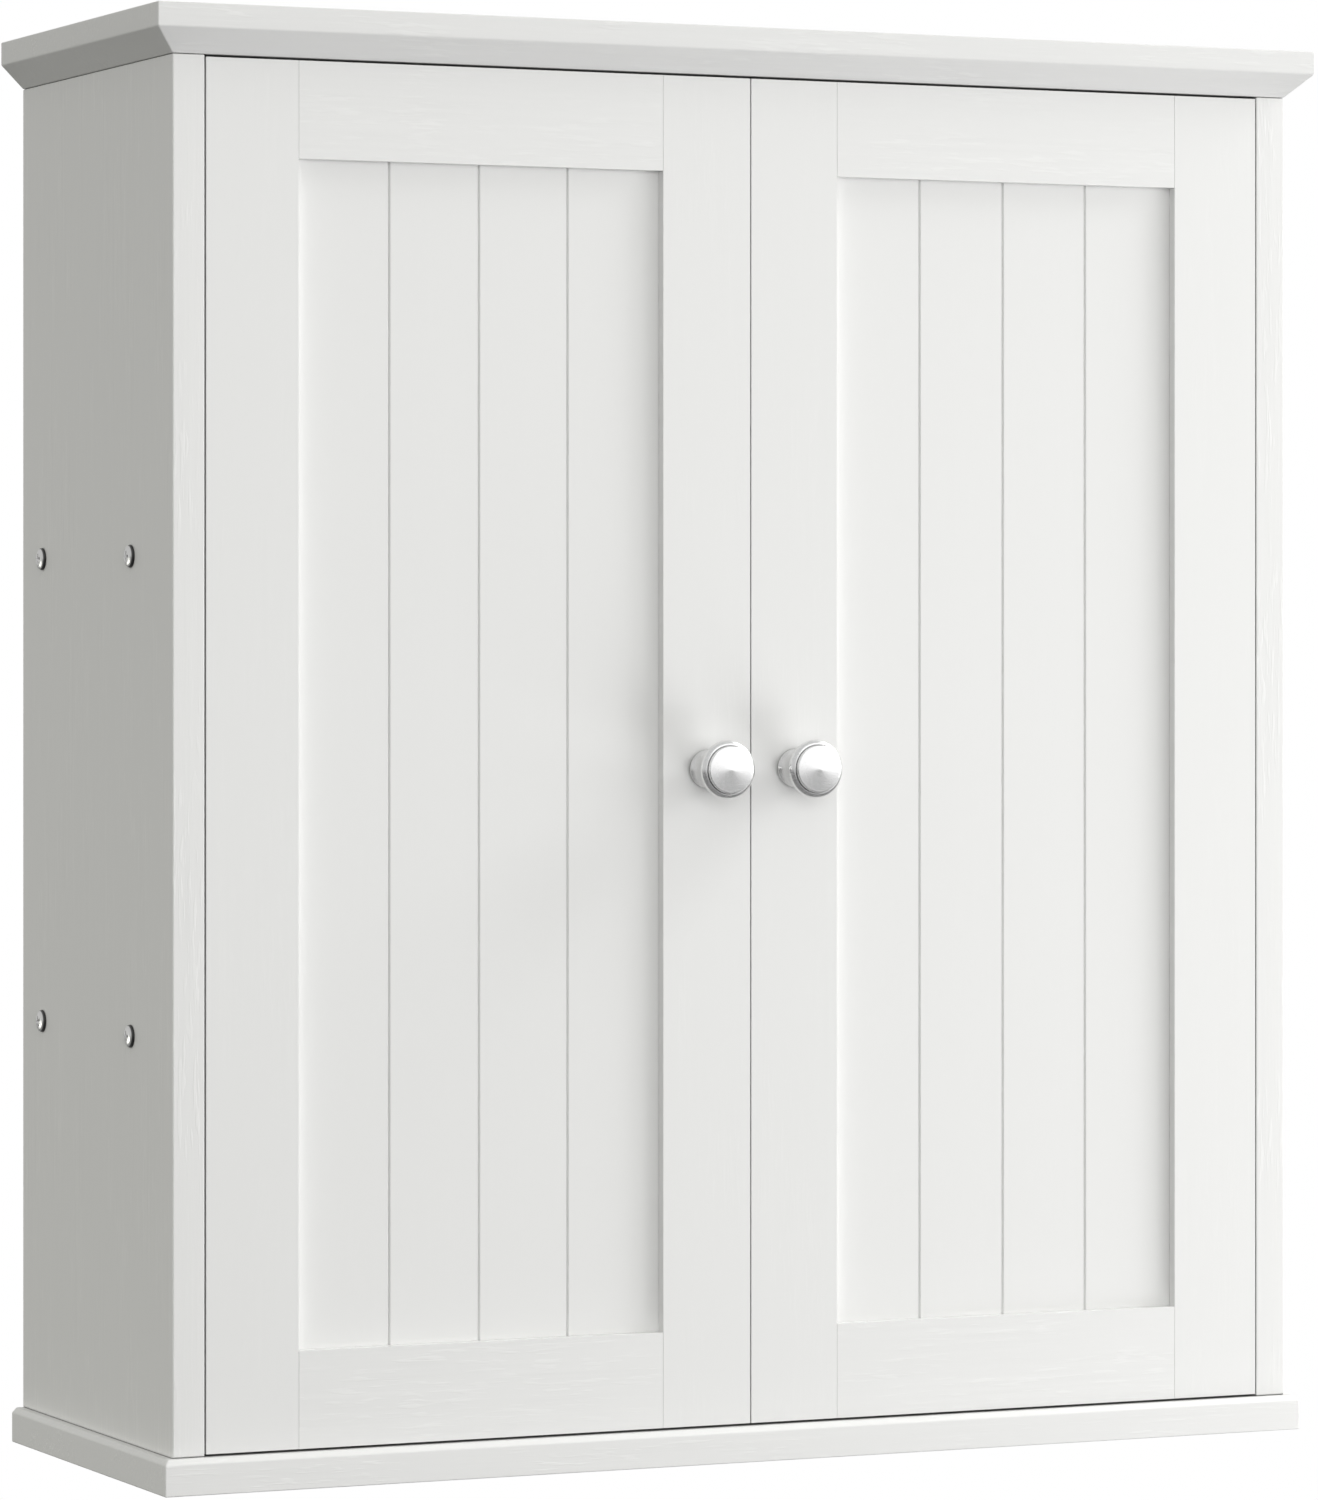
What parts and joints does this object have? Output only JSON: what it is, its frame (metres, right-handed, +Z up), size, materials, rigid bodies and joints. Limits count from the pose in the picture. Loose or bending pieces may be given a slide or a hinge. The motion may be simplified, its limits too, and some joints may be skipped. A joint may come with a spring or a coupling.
{
  "type": "hanging wall cabinet",
  "caption": "Shallow white wall cabinet with two inset framed doors with grooved panels, round knobs, a bevelled crown board and shelves inside, on concealed hinges.",
  "frame": {"origin": "on the wall plane, on the back panel's rear face, at the middle of the width and at the height of the two wall screws", "axes": "+X to the right as seen from the front, +Y into the wall, +Z up"},
  "size_m": [0.543, 0.2153, 0.61],
  "materials": {
    "carcass_foil": "white foil with an embossed grain, satin",
    "door_foil": "white foil with an embossed grain, satin",
    "panel_foil": "white foil, nearly smooth, satin",
    "back_board": "thin hardboard, painted white",
    "knob_metal": "turned and spun, satin",
    "side_screw_metal": "zinc plated, satin",
    "screw_metal": "zinc plated",
    "hinge_metal": "nickel plated"
  },
  "bodies": {
    "root": {"crown_board": "carcass_foil", "base_board": "carcass_foil", "side_panel_left": "carcass_foil", "side_panel_right": "carcass_foil", "hanging_rail": "carcass_foil", "shelf_lower": "carcass_foil", "shelf_upper": "carcass_foil", "back_panel": "back_board", "shelf_lower_screw_left_front": "side_screw_metal", "shelf_lower_screw_left_rear": "side_screw_metal", "shelf_lower_screw_right_front": "side_screw_metal", "shelf_lower_screw_right_rear": "side_screw_metal", "shelf_upper_screw_left_front": "side_screw_metal", "shelf_upper_screw_left_rear": "side_screw_metal", "shelf_upper_screw_right_front": "side_screw_metal", "shelf_upper_screw_right_rear": "side_screw_metal", "crown_screw_left_front": "screw_metal", "crown_screw_left_rear": "screw_metal", "crown_screw_right_front": "screw_metal", "crown_screw_right_rear": "screw_metal", "crown_screw_rail_left": "screw_metal", "crown_screw_rail_right": "screw_metal", "base_screw_left_front": "screw_metal", "base_screw_left_rear": "screw_metal", "base_screw_right_front": "screw_metal", "base_screw_right_rear": "screw_metal", "left_upper_hinge_plate": "hinge_metal", "left_lower_hinge_plate": "hinge_metal", "right_upper_hinge_plate": "hinge_metal", "right_lower_hinge_plate": "hinge_metal", "left_upper_hinge_arm": "hinge_metal", "left_lower_hinge_arm": "hinge_metal", "right_upper_hinge_arm": "hinge_metal", "right_lower_hinge_arm": "hinge_metal"},
    "left_door": {"left_hinge_stile": "door_foil", "left_knob_stile": "door_foil", "left_top_rail": "door_foil", "left_bottom_rail": "door_foil", "left_grooved_panel": "panel_foil", "left_knob": "knob_metal", "left_knob_screw": "screw_metal", "left_upper_hinge_cup": "hinge_metal", "left_lower_hinge_cup": "hinge_metal"},
    "left_outer_links": {"left_upper_outer_link": "hinge_metal", "left_lower_outer_link": "hinge_metal"},
    "left_inner_links": {"left_upper_inner_link": "hinge_metal", "left_lower_inner_link": "hinge_metal"},
    "right_door": {"right_hinge_stile": "door_foil", "right_knob_stile": "door_foil", "right_top_rail": "door_foil", "right_bottom_rail": "door_foil", "right_grooved_panel": "panel_foil", "right_knob": "knob_metal", "right_knob_screw": "screw_metal", "right_upper_hinge_cup": "hinge_metal", "right_lower_hinge_cup": "hinge_metal"},
    "right_outer_links": {"right_upper_outer_link": "hinge_metal", "right_lower_outer_link": "hinge_metal"},
    "right_inner_links": {"right_upper_inner_link": "hinge_metal", "right_lower_inner_link": "hinge_metal"}
  },
  "joints": [
    {"name": "left_door_swing", "type": "hinge", "parent": "root", "child": "left_door", "pos_m": [-0.2463, -0.19, -0.2575], "axis": [0, 0, -1], "range_deg": [0, 95]},
    {"name": "left_outer_link_turn", "type": "hinge", "parent": "root", "child": "left_outer_links", "pos_m": [-0.2219, -0.1804, -0.2575], "axis": [0, 0, 1], "range_deg": [0, 62]},
    {"name": "left_inner_link_turn", "type": "hinge", "parent": "root", "child": "left_inner_links", "pos_m": [-0.2257, -0.1768, -0.2575], "axis": [0, 0, 1], "range_deg": [0, 68]},
    {"name": "right_door_swing", "type": "hinge", "parent": "root", "child": "right_door", "pos_m": [0.2463, -0.19, -0.2575], "axis": [0, 0, 1], "range_deg": [0, 95]},
    {"name": "right_outer_link_turn", "type": "hinge", "parent": "root", "child": "right_outer_links", "pos_m": [0.2219, -0.1804, -0.2575], "axis": [0, 0, -1], "range_deg": [0, 62]},
    {"name": "right_inner_link_turn", "type": "hinge", "parent": "root", "child": "right_inner_links", "pos_m": [0.2257, -0.1768, -0.2575], "axis": [0, 0, -1], "range_deg": [0, 68]}
  ],
  "couplings": [
    {"joint": "left_outer_link_turn", "follows": "left_door_swing", "ratio": 0.65},
    {"joint": "left_inner_link_turn", "follows": "left_door_swing", "ratio": 0.71},
    {"joint": "right_outer_link_turn", "follows": "right_door_swing", "ratio": 0.65},
    {"joint": "right_inner_link_turn", "follows": "right_door_swing", "ratio": 0.71}
  ]
}
